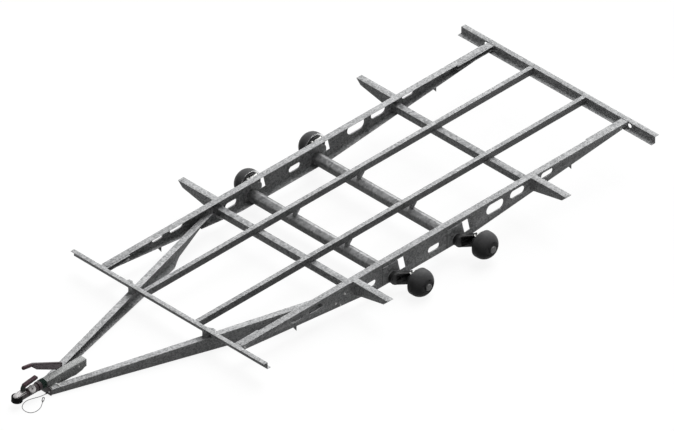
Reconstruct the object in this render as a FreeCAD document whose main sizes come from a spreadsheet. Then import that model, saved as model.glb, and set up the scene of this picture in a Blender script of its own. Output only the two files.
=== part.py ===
import FreeCAD, Part
import math
import os
import Sketcher

# Bare twin-axle trailer chassis: two deep-bellied side rails, a V drawbar, an overrun coupling and
# four braked hubs on rubber-sprung axles. No road wheels and no jockey wheel are fitted.
# Lengths are millimetres. The chassis is drawn level, with +X forwards to the coupling, +Y to the
# left, +Z up and zero height on top of the frame. It is then tipped nose down as it really rests,
# on the drawbar's nose plate and the two front drums, with the origin on the floor under its middle.

# Sizes of the chassis, one sheet cell each
SIZES = {
    # Side rails: folded channels, open inwards, deepest between the axles
    "rail_half_width": 779,
    "rail_flange": 57,
    "rail_sheet": 3,
    "rail_front_reach": 1980,
    "rail_rear_reach": 2260,
    "rail_end_depth": 45,
    "rail_belly_depth": 214,
    "belly_front_reach": 498,
    "belly_rear_reach": 505,
    # Lightening slots in the rail webs, with a lip turned inwards round each
    "slot_one_x": 1380,
    "slot_one_drop": 48,
    "slot_one_length": 125,
    "slot_one_height": 45,
    "slot_two_x": 1173,
    "slot_two_drop": 51,
    "slot_two_length": 150,
    "slot_two_height": 53,
    "slot_three_x": 567,
    "slot_three_drop": 130,
    "slot_three_length": 131,
    "slot_three_height": 56,
    "slot_four_x": -142,
    "slot_five_x": -829,
    "slot_five_drop": 77,
    "slot_five_length": 198,
    "slot_five_height": 91,
    "slot_six_x": -1079,
    "slot_six_drop": 61,
    "slot_six_length": 166,
    "slot_six_height": 71,
    "slot_seven_x": -1413,
    "slot_seven_drop": 47,
    "slot_seven_length": 135,
    "slot_seven_height": 53,
    "slot_lip_depth": 9,
    "slot_lip_sheet": 2.5,
    # Windows in the webs behind each axle, past the axle plates
    "window_top_front": 62,
    "window_top_rear": 127,
    "window_foot_front": 94,
    "window_foot_rear": 154,
    "window_top_drop": 36,
    "window_foot_drop": 152,
    # Rail extension channels, nested in both ends of each rail
    "extension_flange": 69,
    "extension_front_overlap": 235,
    "extension_rear_overlap": 343,
    # Front cross beam and rear beam: Z sections
    "front_member_gap": 23,
    "front_member_half_length": 1074,
    "front_member_flange": 37,
    "rear_beam_gap": 67,
    "rear_beam_half_length": 1076,
    "rear_beam_top_flange": 45,
    "rear_beam_foot_flange": 40,
    "beam_height": 63,
    "beam_sheet": 3,
    "beam_hole_radius": 19,
    "beam_hole_outset": 18,
    # Floor bearers: square-cornered tubes along the floor
    "bearer_y": 290,
    "bearer_width": 40,
    "bearer_wall": 2,
    # Cross members and outriggers: folded channels in two rows
    "front_row_x": 762,
    "rear_row_x": -1231,
    "row_flange": 60,
    "row_sheet": 3,
    "cross_member_depth": 63,
    "outrigger_tip_y": 1164,
    "outrigger_root_depth": 119,
    "outrigger_tip_depth": 49,
    "outrigger_tip_slant": 47,
    # Drawbar arms: folded channels, open inwards, deeper towards the rails
    "arm_front_x": 3375,
    "arm_front_y": 70,
    "arm_yaw_run": 1000,
    "arm_yaw_rise": 277,
    "arm_drop": 77,
    "arm_flange": 55,
    "arm_sheet": 4,
    "arm_front_depth": 50,
    "arm_deep_depth": 162,
    "arm_deep_x": 1262,
    "arm_foot_end_x": 1413,
    "arm_notch_x": 943,
    "arm_notch_depth": 93,
    "arm_tail_depth": 68,
    "arm_slot_gap": 2,
    # Spacers between the drawbar arms and the front cross beam
    "spacer_sheet": 4,
    "spacer_width": 70,
    "spacer_length": 34,
    "clip_front_reach": 34,
    "clip_side_inset": 8,
    "clip_side_length": 46,
    # Steadies' tabs under the rails
    "tab_front_x": 1359,
    "tab_rear_x": -1714,
    "tab_length": 55,
    "tab_depth": 70,
    "tab_sheet": 5,
    # Axles: hexagonal tubes, corner up, with rubber inside
    "front_axle_x": 330,
    "axle_spacing": 720,
    "axle_drop": 165,
    "tube_flats": 98,
    "tube_wall": 6,
    "tube_proud": 9,
    "tube_web_gap": 1,
    "plate_sheet": 6,
    "plate_front_reach": 103,
    "plate_rear_reach": 62,
    "plate_top_drop": 38,
    "plate_foot_drop": 208,
    # Bearer posts on the axle tubes
    "post_width": 34,
    "post_front_reach": 15,
    "post_rear_reach": 38,
    "post_heel_depth": 8,
    "post_toe_drop": 112,
    # Swing arms and stub axles
    "hub_set_back": 138,
    "hub_set_down": 40,
    "boss_radius": 50,
    "boss_length": 8,
    "swing_arm_thickness": 42,
    "swing_arm_end_radius": 52,
    "swing_arm_crank": 42,
    "hub_flange": 14,
    "hub_neck_radius": 44,
    "hub_neck_length": 34,
    "stub_radius": 17.5,
    "stub_length": 98,
    "stub_end_gap": 2,
    # Brakes
    "backplate_radius": 101,
    "backplate_sheet": 3,
    "backplate_rim": 8,
    "drum_gap": 5,
    "drum_radius": 116.5,
    "drum_wall": 12,
    "drum_depth": 113,
    "drum_dome_depth": 122,
    "drum_dome_radius": 92,
    "drum_face": 17,
    "drum_cavity_shoulder_x": 62,
    "drum_cavity_shoulder_radius": 98,
    "drum_cavity_crown_x": 82,
    "drum_cavity_crown_radius": 82,
    "drum_cavity_face_radius": 58,
    "hub_core_radius": 34,
    "hub_core_start": 20,
    "running_clearance": 0.3,
    "spigot_radius": 32.5,
    "spigot_height": 7,
    "cap_radius": 26,
    "cap_height": 8,
    "cap_crown": 5,
    "wheel_bolt_circle": 112,
    "wheel_bolt_radius": 6,
    "wheel_bolt_depth": 14,
    # Overrun housing on top of the drawbar's nose
    "housing_width": 68,
    "housing_top_drop": 10,
    "housing_rear_x": 2954,
    "housing_rear_depth": 70,
    "housing_step_x": 2974,
    "housing_step_front_x": 3000,
    "housing_step_depth": 85,
    "housing_belly_rear_x": 3074,
    "housing_belly_depth": 98,
    "housing_belly_x": 3120,
    "housing_foot_depth": 91,
    "housing_seat_x": 3255,
    "housing_edge_radius": 9,
    "nose_plate_thickness": 8,
    "nose_plate_half_width": 75,
    "nose_plate_foot_drop": 129,
    "nose_plate_top_drop": 62,
    "shaft_drop": 37,
    "bellows_radius": 42,
    "bellows_root_radius": 34,
    "bellows_end_radius": 28,
    "bellows_length": 76,
    # Coupling head, a pressed hood over a ball socket
    "socket_x": 3680,
    "socket_drop": 50,
    "socket_radius": 25.2,
    "cup_radius": 42,
    "cup_foot_drop": 62,
    "cup_crown_drop": 12,
    "cup_crown_radius": 26,
    "ring_sheet": 3,
    "ring_top_drop": 38,
    "sleeve_radius": 32,
    "sleeve_front_x": 3572,
    "hood_half_width": 26,
    "hood_nose_x": 3700,
    "hood_nose_drop": 30,
    "hood_peak_front_x": 3655,
    "hood_peak_rear_x": 3604,
    "hood_peak_drop": 4,
    "hood_back_x": 3580,
    "hood_back_drop": 16,
    "handle_pivot_x": 3612,
    "handle_pivot_rise": 22,
    "handle_end_x": 3476,
    "handle_end_rise": 58,
    "handle_half_width": 18,
    "handle_half_height": 15,
    # Handbrake lever on the right of the housing
    "lever_gap": 4,
    "lever_width": 20,
    "lever_root_x": 3150,
    "lever_root_foot_drop": 54,
    "lever_root_rise": 15,
    "lever_elbow_x": 3426,
    "lever_elbow_foot_rise": 89,
    "lever_bend_x": 3456,
    "lever_bend_rise": 161,
    "lever_end_x": 3478,
    "lever_end_rise": 166,
    "lever_end_foot_rise": 142,
    "lever_bolt_x": 3196,
    "lever_bolt_drop": 24,
    "lever_bolt_radius": 9,
    "lever_bolt_head": 7,
    "grip_length": 92,
    "grip_lift": 15,
    "grip_radius": 16,
    "grip_neck_radius": 13,
    "grip_tip_length": 10,
    # Breakaway cable
    "cable_radius": 2.5,
    "anchor_y": 36,
    "anchor_drop": 118,
    "anchor_radius": 5,
    "anchor_length": 20,
    "crimp_radius": 4.5,
    "crimp_length": 16,
    "clip_wire_radius": 3,
    "clip_wire_rise": 3.4,
    "clip_length": 58,
    "clip_width": 20,
    # How far a cutting shape runs past what it cuts
    "overrun": 20,
}

# How near two lengths or directions count as the same
CLOSE = 1e-6

doc = FreeCAD.newDocument("twin_axle_chassis")
sheet = doc.addObject("Spreadsheet::Sheet", "size")
for row, (alias, number) in enumerate(SIZES.items(), start=1):
    sheet.set(f"A{row}", alias.replace("_", " "))
    sheet.set(f"B{row}", str(number))
    sheet.setAlias(f"B{row}", alias)
doc.recompute()


class Size:
    """A length with the sheet expression that gives it, so that sums of sizes stay bound."""

    def __init__(self, value, text):
        self.value = float(value)
        self.text = text

    def join(self, sign, other, value):
        return Size(value, f"({self.text} {sign} {other.text})")

    def __add__(self, other):
        other = sized(other)
        return self.join("+", other, self.value + other.value)

    def __sub__(self, other):
        other = sized(other)
        return self.join("-", other, self.value - other.value)

    def __mul__(self, other):
        other = sized(other)
        return self.join("*", other, self.value * other.value)

    def __truediv__(self, other):
        other = sized(other)
        return self.join("/", other, self.value / other.value)

    def __radd__(self, other):
        return sized(other) + self

    def __rsub__(self, other):
        return sized(other) - self

    def __rmul__(self, other):
        return sized(other) * self

    def __neg__(self):
        return sized(0) - self


def sized(item):
    """Any number or Size as a Size."""
    if isinstance(item, Size):
        return item
    return Size(item, repr(float(item)))


class Sheet:
    """The sheet's cells by name, each a Size."""

    def __getattr__(self, name):
        return Size(sheet.get(name), f"size.{name}")


dim = Sheet()

# Each origin plane: its role, and the world direction of its normal along its own axis
PLANES = {"XY": ("XY_Plane", 1), "XZ": ("XZ_Plane", -1), "YZ": ("YZ_Plane", 1)}


def bind(item, name, size):
    """Tie one property of an object to the sheet."""
    item.setExpression(name, sized(size).text)


def new_body(label):
    body = doc.addObject("PartDesign::Body", label)
    body.Label = label
    return body


def new_sketch(body, plane, low):
    """A sketch on one of the body's own planes, moved to the height low along that axis."""
    role, normal = PLANES[plane]
    support = [entry for entry in body.Origin.OriginFeatures if entry.Role == role][0]
    sketch = body.newObject("Sketcher::SketchObject", f"{body.Name}_sketch")
    sketch.AttachmentSupport = [(support, "")]
    sketch.MapMode = "FlatFace"
    lift = sized(low) * normal
    sketch.AttachmentOffset.Base.z = lift.value
    bind(sketch, "AttachmentOffset.Base.z", lift)
    return sketch


def tie(sketch, edge, end, across, up):
    """Hold one point of the sketch at a place given by the sheet."""
    for kind, size in (("DistanceX", sized(across)), ("DistanceY", sized(up))):
        rule = sketch.addConstraint(Sketcher.Constraint(kind, -1, 1, edge, end, size.value))
        bind(sketch, f"Constraints[{rule}]", size)


def point(across, up):
    return FreeCAD.Vector(sized(across).value, sized(up).value, 0)


def outline(*corners):
    """A closed outline of straight runs through the corners."""
    def draw(sketch):
        first = sketch.GeometryCount
        count = len(corners)
        for index, corner in enumerate(corners):
            ahead = corners[(index + 1) % count]
            sketch.addGeometry(Part.LineSegment(point(*corner), point(*ahead)))
        for index in range(count):
            ahead = first + (index + 1) % count
            sketch.addConstraint(Sketcher.Constraint("Coincident", first + index, 2, ahead, 1))
        for index, corner in enumerate(corners):
            tie(sketch, first + index, 1, *corner)
    return draw


def circle(across, up, radius):
    def draw(sketch):
        radius_now = sized(radius).value
        edge = sketch.addGeometry(Part.Circle(point(across, up), FreeCAD.Vector(0, 0, 1), radius_now))
        tie(sketch, edge, 3, across, up)
        rule = sketch.addConstraint(Sketcher.Constraint("Radius", edge, radius_now))
        bind(sketch, f"Constraints[{rule}]", radius)
    return draw


def link(start, start_radius, end, end_radius):
    """Two round ends joined by the straight lines that touch both, as a slot or a lever has."""
    def draw(sketch):
        near = point(*start)
        far = point(*end)
        near_radius = sized(start_radius).value
        far_radius = sized(end_radius).value
        run = math.atan2(far.y - near.y, far.x - near.x)
        lean = math.acos((near_radius - far_radius) / near.distanceToPoint(far))
        up = FreeCAD.Vector(0, 0, 1)

        def rim(centre, radius, turn):
            return centre + FreeCAD.Vector(math.cos(turn), math.sin(turn), 0) * radius

        near_arc = Part.ArcOfCircle(Part.Circle(near, up, near_radius), run + lean, run - lean + 2 * math.pi)
        far_arc = Part.ArcOfCircle(Part.Circle(far, up, far_radius), run - lean, run + lean)
        first = sketch.addGeometry(near_arc)
        sketch.addGeometry(far_arc)
        for start_point, end_point in (
                (rim(near, near_radius, run - lean), rim(far, far_radius, run - lean)),
                (rim(far, far_radius, run + lean), rim(near, near_radius, run + lean))):
            sketch.addGeometry(Part.LineSegment(start_point, end_point))
        second, lower, upper = first + 1, first + 2, first + 3
        for edge, finish, line, line_end in ((first, 2, lower, 1), (second, 1, lower, 2),
                                          (second, 2, upper, 1), (first, 1, upper, 2)):
            sketch.addConstraint(Sketcher.Constraint("Tangent", edge, finish, line, line_end))
        tie(sketch, first, 3, *start)
        tie(sketch, second, 3, *end)
        for edge, radius in ((first, start_radius), (second, end_radius)):
            rule = sketch.addConstraint(Sketcher.Constraint("Radius", edge, sized(radius).value))
            bind(sketch, f"Constraints[{rule}]", radius)
    return draw


def slot(x, z, length, height):
    """An obround hole along X, by its centre, overall length and height."""
    reach = (length - height) / 2
    return link((x - reach, z), height / 2, (x + reach, z), height / 2)


def grow(body, kind, plane, low, high, shapes):
    """Pad or pocket the shapes from low to high along the plane's axis."""
    sketch = new_sketch(body, plane, low)
    for shape in shapes:
        shape(sketch)
    feature = body.newObject(f"PartDesign::{kind}", f"{body.Name}_{kind.lower()}")
    feature.Profile = sketch
    bind(feature, "Length", sized(high) - low)
    along_normal = PLANES[plane][1] > 0
    feature.Reversed = along_normal if kind == "Pocket" else not along_normal
    return feature


def add(body, plane, low, high, *shapes):
    return grow(body, "Pad", plane, low, high, shapes)


def cut(body, plane, low, high, *shapes):
    return grow(body, "Pocket", plane, low, high, shapes)


def turned(body, kind, shape):
    """Revolve or groove a half outline about the body's own X axis."""
    sketch = new_sketch(body, "XY", 0)
    shape(sketch)
    feature = body.newObject(f"PartDesign::{kind}", f"{body.Name}_{kind.lower()}")
    feature.Profile = sketch
    feature.ReferenceAxis = (sketch, ["H_Axis"])
    feature.Angle = 360
    return feature


def rounded(body, kind, size, chosen):
    """Fillet or chamfer the edges of the body that the test picks."""
    doc.recompute()
    base = body.Tip
    names = [f"Edge{index + 1}" for index, edge in enumerate(base.Shape.Edges) if chosen(edge)]
    feature = body.newObject(f"PartDesign::{kind}", f"{body.Name}_{kind.lower()}")
    feature.Base = (base, names)
    bind(feature, "Radius" if kind == "Fillet" else "Size", size)
    return feature


def along(edge, direction):
    """Whether a straight edge runs along a direction."""
    if edge.Curve.TypeId != "Part::GeomLine":
        return False
    return abs(abs(edge.Curve.Direction.dot(FreeCAD.Vector(*direction))) - 1) < CLOSE


pieces = {}
places = {}


def keep(label, piece, x=0, y=0, z=0, turn=None):
    """Note a finished piece, with its place in the level chassis."""
    base = FreeCAD.Vector(sized(x).value, sized(y).value, sized(z).value)
    places[label] = FreeCAD.Placement(base, turn or FreeCAD.Rotation())
    pieces[label] = piece
    return piece


def mirror(label, source):
    """The other side's piece, mirrored through the chassis centre plane."""
    twin = doc.addObject("Part::Mirroring", label)
    twin.Label = label
    twin.Source = source
    twin.Normal = FreeCAD.Vector(0, 1, 0)
    return twin


def group(label, members):
    """Like pieces of the chassis that share one node."""
    whole = doc.addObject("Part::Compound", label)
    whole.Label = label
    whole.Links = members
    return whole


# Lines that several pieces share
rail_outer = dim.rail_half_width
rail_inner = rail_outer - dim.rail_sheet
rail_lip = rail_outer - dim.rail_flange
member_x = dim.rail_front_reach + dim.front_member_gap
beam_x = -(dim.rail_rear_reach + dim.rear_beam_gap)
nose_x = dim.arm_front_x + dim.nose_plate_thickness
head_rear_x = nose_x + dim.bellows_length
tube_end_y = rail_outer + dim.tube_proud
axle_lines = {"front": dim.front_axle_x, "rear": dim.front_axle_x - dim.axle_spacing}
axle_z = -dim.axle_drop
hub_z = axle_z - dim.hub_set_down
hexagon_corner_share = 1 / math.sqrt(3)
rope_bend_share = 0.45
wheel_bolt_count = 5


def rail_foot(x):
    """The height of the rail's underside at a place on its front or rear taper."""
    rise = dim.rail_belly_depth - dim.rail_end_depth
    if x.value > 0:
        share = (dim.rail_front_reach - x) / (dim.rail_front_reach - dim.belly_front_reach)
    else:
        share = (dim.rail_rear_reach + x) / (dim.rail_rear_reach - dim.belly_rear_reach)
    return -(dim.rail_end_depth + rise * share)


def hexagon(x, z, flats):
    """A hexagon with a corner up and its flats to the front and rear."""
    half = flats / 2
    corner = flats * hexagon_corner_share
    return outline((x, z + corner), (x + half, z + corner / 2), (x + half, z - corner / 2),
                   (x, z - corner), (x - half, z - corner / 2), (x - half, z + corner / 2))


def window(axle_x):
    """The opening in the web behind an axle plate, leaning back as the swing arm does."""
    return outline((axle_x - dim.window_top_front, -dim.window_top_drop),
                   (axle_x - dim.window_foot_front, -dim.window_foot_drop),
                   (axle_x - dim.window_foot_rear, -dim.window_foot_drop),
                   (axle_x - dim.window_top_rear, -dim.window_top_drop))


# Side rails
slots = [
    (dim.slot_one_x, dim.slot_one_drop, dim.slot_one_length, dim.slot_one_height),
    (dim.slot_two_x, dim.slot_two_drop, dim.slot_two_length, dim.slot_two_height),
    (dim.slot_three_x, dim.slot_three_drop, dim.slot_three_length, dim.slot_three_height),
    (dim.slot_four_x, dim.slot_three_drop, dim.slot_three_length, dim.slot_three_height),
    (dim.slot_five_x, dim.slot_five_drop, dim.slot_five_length, dim.slot_five_height),
    (dim.slot_six_x, dim.slot_six_drop, dim.slot_six_length, dim.slot_six_height),
    (dim.slot_seven_x, dim.slot_seven_drop, dim.slot_seven_length, dim.slot_seven_height),
]
rail = new_body("rail_left")
front = dim.rail_front_reach
rear = -dim.rail_rear_reach
end_z = -dim.rail_end_depth
belly_z = -dim.rail_belly_depth
add(rail, "XZ", rail_lip, rail_outer, outline(
    (front, 0), (front, end_z), (dim.belly_front_reach, belly_z),
    (-dim.belly_rear_reach, belly_z), (rear, end_z), (rear, 0)))
wall = dim.rail_sheet
past = dim.overrun
cut(rail, "XZ", rail_lip - past, rail_inner, outline(
    (front + past, -wall), (front + past, end_z + wall), (front, end_z + wall),
    (dim.belly_front_reach, belly_z + wall), (-dim.belly_rear_reach, belly_z + wall),
    (rear, end_z + wall), (rear - past, end_z + wall), (rear - past, -wall)))
lip_grown = dim.slot_lip_sheet * 2
add(rail, "XZ", rail_inner - dim.slot_lip_depth, rail_inner,
    *[slot(x, -drop, length + lip_grown, height + lip_grown) for x, drop, length, height in slots])
cut(rail, "XZ", rail_inner - past, rail_outer + past,
    *[slot(x, -drop, length, height) for x, drop, length, height in slots])
web_hole = dim.tube_flats + dim.tube_web_gap * 2
for axle_x in axle_lines.values():
    cut(rail, "XZ", rail_lip - past, rail_outer + past, hexagon(axle_x, axle_z, web_hole))
    cut(rail, "XZ", rail_inner - past, rail_outer + past, window(axle_x))

# The slot in the foot flange that lets the drawbar arm's web through
arm_lip_x = dim.arm_front_x - (rail_lip - dim.arm_front_y) * dim.arm_yaw_run / dim.arm_yaw_rise
arm_slot_y = dim.arm_front_y + (dim.arm_front_x - dim.arm_notch_x) * dim.arm_yaw_rise / dim.arm_yaw_run
arm_slot_back = dim.arm_notch_x - dim.arm_slot_gap
arm_slot_side = arm_slot_y + dim.arm_slot_gap * 2
cut(rail, "XY", belly_z, -dim.arm_drop - dim.arm_tail_depth, outline(
    (arm_lip_x + dim.arm_flange, rail_lip - past), (arm_lip_x + dim.arm_flange, rail_lip),
    (arm_slot_back, arm_slot_side), (arm_slot_back, rail_lip - past)))
keep("rail_left", rail)

# Rail extensions: shallower channels nested in the rail ends and running on to the cross beams
extension_foot = wall - dim.rail_end_depth
extension_ends = {
    "front": (front - dim.extension_front_overlap, member_x - dim.beam_sheet),
    "rear": (beam_x, rear + dim.extension_rear_overlap),
}
for end, (low, high) in extension_ends.items():
    extension = new_body(f"rail_extension_{end}_left")
    lip = rail_inner - dim.extension_flange
    add(extension, "XZ", lip, rail_inner, outline(
        (low, -wall), (high, -wall), (high, extension_foot), (low, extension_foot)))
    cut(extension, "XZ", lip - past, rail_inner - wall, outline(
        (low - past, -wall * 2), (high + past, -wall * 2),
        (high + past, extension_foot + wall), (low - past, extension_foot + wall)))
    keep(f"rail_extension_{end}_left", extension)

# Front cross beam: a Z with its top flange forwards and its foot flange to the rear
beam_foot = -dim.beam_height
beam_wall = dim.beam_sheet
member = new_body("front_member")
member_flange = dim.front_member_flange
add(member, "XZ", -dim.front_member_half_length, dim.front_member_half_length, outline(
    (member_x - beam_wall, 0), (member_x + member_flange, 0), (member_x + member_flange, -beam_wall),
    (member_x, -beam_wall), (member_x, beam_foot), (member_x - member_flange, beam_foot),
    (member_x - member_flange, beam_foot + beam_wall), (member_x - beam_wall, beam_foot + beam_wall)))
keep("front_member", member)

# Rear beam: a Z with its top flange to the rear and its foot flange forwards, with a lamp cable hole
# beside each rail
beam = new_body("rear_beam")
top_reach = dim.rear_beam_top_flange
foot_reach = dim.rear_beam_foot_flange
add(beam, "XZ", -dim.rear_beam_half_length, dim.rear_beam_half_length, outline(
    (beam_x, 0), (beam_x - top_reach, 0), (beam_x - top_reach, -beam_wall),
    (beam_x - beam_wall, -beam_wall), (beam_x - beam_wall, beam_foot), (beam_x + foot_reach, beam_foot),
    (beam_x + foot_reach, beam_foot + beam_wall), (beam_x, beam_foot + beam_wall)))
beam_hole_y = rail_outer + dim.beam_hole_outset
for hole_y in (beam_hole_y, -beam_hole_y):
    cut(beam, "YZ", beam_x - beam_wall - past, beam_x + past,
        circle(hole_y, beam_foot / 2, dim.beam_hole_radius))
keep("rear_beam", beam)

# Floor bearers: tubes that rest in the cross beams' foot flanges
bearer_depth = dim.beam_height - beam_wall
bearer_foot = -bearer_depth
bearer = new_body("floor_bearer_left")
bearer_low = dim.bearer_y - dim.bearer_width / 2
bearer_high = dim.bearer_y + dim.bearer_width / 2
bearer_wall = dim.bearer_wall
add(bearer, "YZ", beam_x, member_x - beam_wall, outline(
    (bearer_low, 0), (bearer_high, 0), (bearer_high, bearer_foot), (bearer_low, bearer_foot)))
cut(bearer, "YZ", beam_x - past, member_x + past, outline(
    (bearer_low + bearer_wall, -bearer_wall), (bearer_high - bearer_wall, -bearer_wall),
    (bearer_high - bearer_wall, bearer_foot + bearer_wall),
    (bearer_low + bearer_wall, bearer_foot + bearer_wall)))
keep("floor_bearer_left", bearer)

# Cross members between the rails and outriggers outside them, in a front and a rear row
row_wall = dim.row_sheet
row_lines = {"front": dim.front_row_x, "rear": dim.rear_row_x}
cross_foot = bearer_foot - dim.cross_member_depth
for row, row_x in row_lines.items():
    cross = new_body(f"cross_member_{row}")
    row_back = row_x - dim.row_flange
    add(cross, "XZ", -rail_inner, rail_inner, outline(
        (row_x, bearer_foot), (row_x, cross_foot), (row_back, cross_foot), (row_back, bearer_foot)))
    cut(cross, "XZ", -(rail_inner + past), rail_inner + past, outline(
        (row_x - row_wall, bearer_foot - row_wall), (row_x - row_wall, cross_foot + row_wall),
        (row_back - past, cross_foot + row_wall), (row_back - past, bearer_foot - row_wall)))
    keep(f"cross_member_{row}", cross)

    outrigger = new_body(f"outrigger_{row}_left")
    tip = dim.outrigger_tip_y
    knee = tip - dim.outrigger_tip_slant
    root_z = -dim.outrigger_root_depth
    tip_z = -dim.outrigger_tip_depth
    add(outrigger, "YZ", row_back, row_x, outline(
        (rail_outer, 0), (tip, 0), (tip, -row_wall), (knee, tip_z), (rail_outer, root_z)))
    cut(outrigger, "YZ", row_back - past, row_x - row_wall, outline(
        (rail_outer - past, -row_wall), (tip - row_wall * 2, -row_wall), (knee, tip_z + row_wall),
        (rail_outer, root_z + row_wall), (rail_outer - past, root_z + row_wall)))
    keep(f"outrigger_{row}_left", outrigger)

# Drawbar arms, drawn along their own length from the nose and then turned outwards. The foot flange
# tapers away before the rails. The web goes on into them, through their foot flanges, and ends notched.
arm = new_body("drawbar_arm_left")
yaw = math.atan2(dim.arm_yaw_rise.value, dim.arm_yaw_run.value)
reach_share = 1 / math.cos(yaw)
arm_wall = dim.arm_sheet
arm_run = (rail_inner - dim.arm_front_y) * dim.arm_yaw_run / dim.arm_yaw_rise
arm_end = arm_run * reach_share
arm_deep = (dim.arm_front_x - dim.arm_deep_x) * reach_share
arm_foot_end = (dim.arm_front_x - dim.arm_foot_end_x) * reach_share
arm_notch = (dim.arm_front_x - dim.arm_notch_x) * reach_share
add(arm, "XZ", 0, dim.arm_flange, outline(
    (0, 0), (0, -dim.arm_front_depth), (arm_deep, -dim.arm_deep_depth), (arm_notch, -dim.arm_notch_depth),
    (arm_notch, -dim.arm_tail_depth), (arm_end, -dim.arm_tail_depth), (arm_end, 0)))
cut(arm, "XZ", arm_wall, dim.arm_flange + past, outline(
    (-past, -arm_wall), (-past, arm_wall - dim.arm_front_depth), (0, arm_wall - dim.arm_front_depth),
    (arm_deep, arm_wall - dim.arm_deep_depth), (arm_end + past, arm_wall - dim.arm_deep_depth),
    (arm_end + past, -arm_wall)))
cut(arm, "XY", -(dim.arm_deep_depth + past), -arm_wall * 2, outline(
    (arm_deep, arm_wall), (arm_foot_end, dim.arm_flange), (arm_foot_end, dim.arm_flange + past),
    (arm_end + past, dim.arm_flange + past), (arm_end + past, arm_wall)))
outwards = FreeCAD.Rotation(FreeCAD.Vector(0, 0, 1), 180 - math.degrees(yaw))
keep("drawbar_arm_left", arm, dim.arm_front_x, dim.arm_front_y, -dim.arm_drop, outwards)

# Spacers: short box sections between each drawbar arm and the foot of the front cross beam, each
# with a block in front of the beam's web, up to its top flange
spacer = new_body("front_spacer_left")
spacer_back = member_x - member_flange
spacer_middle = dim.arm_front_y + (dim.arm_front_x - member_x) * dim.arm_yaw_rise / dim.arm_yaw_run
spacer_low = spacer_middle - dim.spacer_width
spacer_wall = dim.spacer_sheet
add(spacer, "YZ", spacer_back, spacer_back + dim.spacer_length, outline(
    (spacer_low, beam_foot), (spacer_middle, beam_foot),
    (spacer_middle, -dim.arm_drop), (spacer_low, -dim.arm_drop)))
cut(spacer, "YZ", spacer_back - past, spacer_back + dim.spacer_length + past, outline(
    (spacer_low + spacer_wall, beam_foot - spacer_wall),
    (spacer_middle - spacer_wall, beam_foot - spacer_wall),
    (spacer_middle - spacer_wall, spacer_wall - dim.arm_drop),
    (spacer_low + spacer_wall, spacer_wall - dim.arm_drop)))
clip_low = spacer_low + dim.clip_side_inset
add(spacer, "YZ", spacer_back + dim.spacer_length, member_x + dim.clip_front_reach, outline(
    (clip_low, beam_foot), (clip_low + dim.clip_side_length, beam_foot),
    (clip_low + dim.clip_side_length, -dim.arm_drop), (clip_low, -dim.arm_drop)))
add(spacer, "YZ", member_x, member_x + dim.clip_front_reach, outline(
    (clip_low, -beam_wall), (clip_low + dim.clip_side_length, -beam_wall),
    (clip_low + dim.clip_side_length, -dim.arm_drop), (clip_low, -dim.arm_drop)))
keep("front_spacer_left", spacer)

# Steady tabs: small triangular plates welded under the middle of each rail's foot, upright behind
tab_y = rail_outer - (dim.rail_flange - dim.tab_sheet) / 2
for row, tab_x in (("front", dim.tab_front_x), ("rear", dim.tab_rear_x)):
    tab = new_body(f"steady_tab_{row}_left")
    tab_toe = tab_x + dim.tab_length
    add(tab, "XZ", tab_y - dim.tab_sheet, tab_y, outline(
        (tab_toe, rail_foot(tab_toe)), (tab_x, rail_foot(tab_x) - dim.tab_depth),
        (tab_x, rail_foot(tab_x))))
    keep(f"steady_tab_{row}_left", tab)

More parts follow.
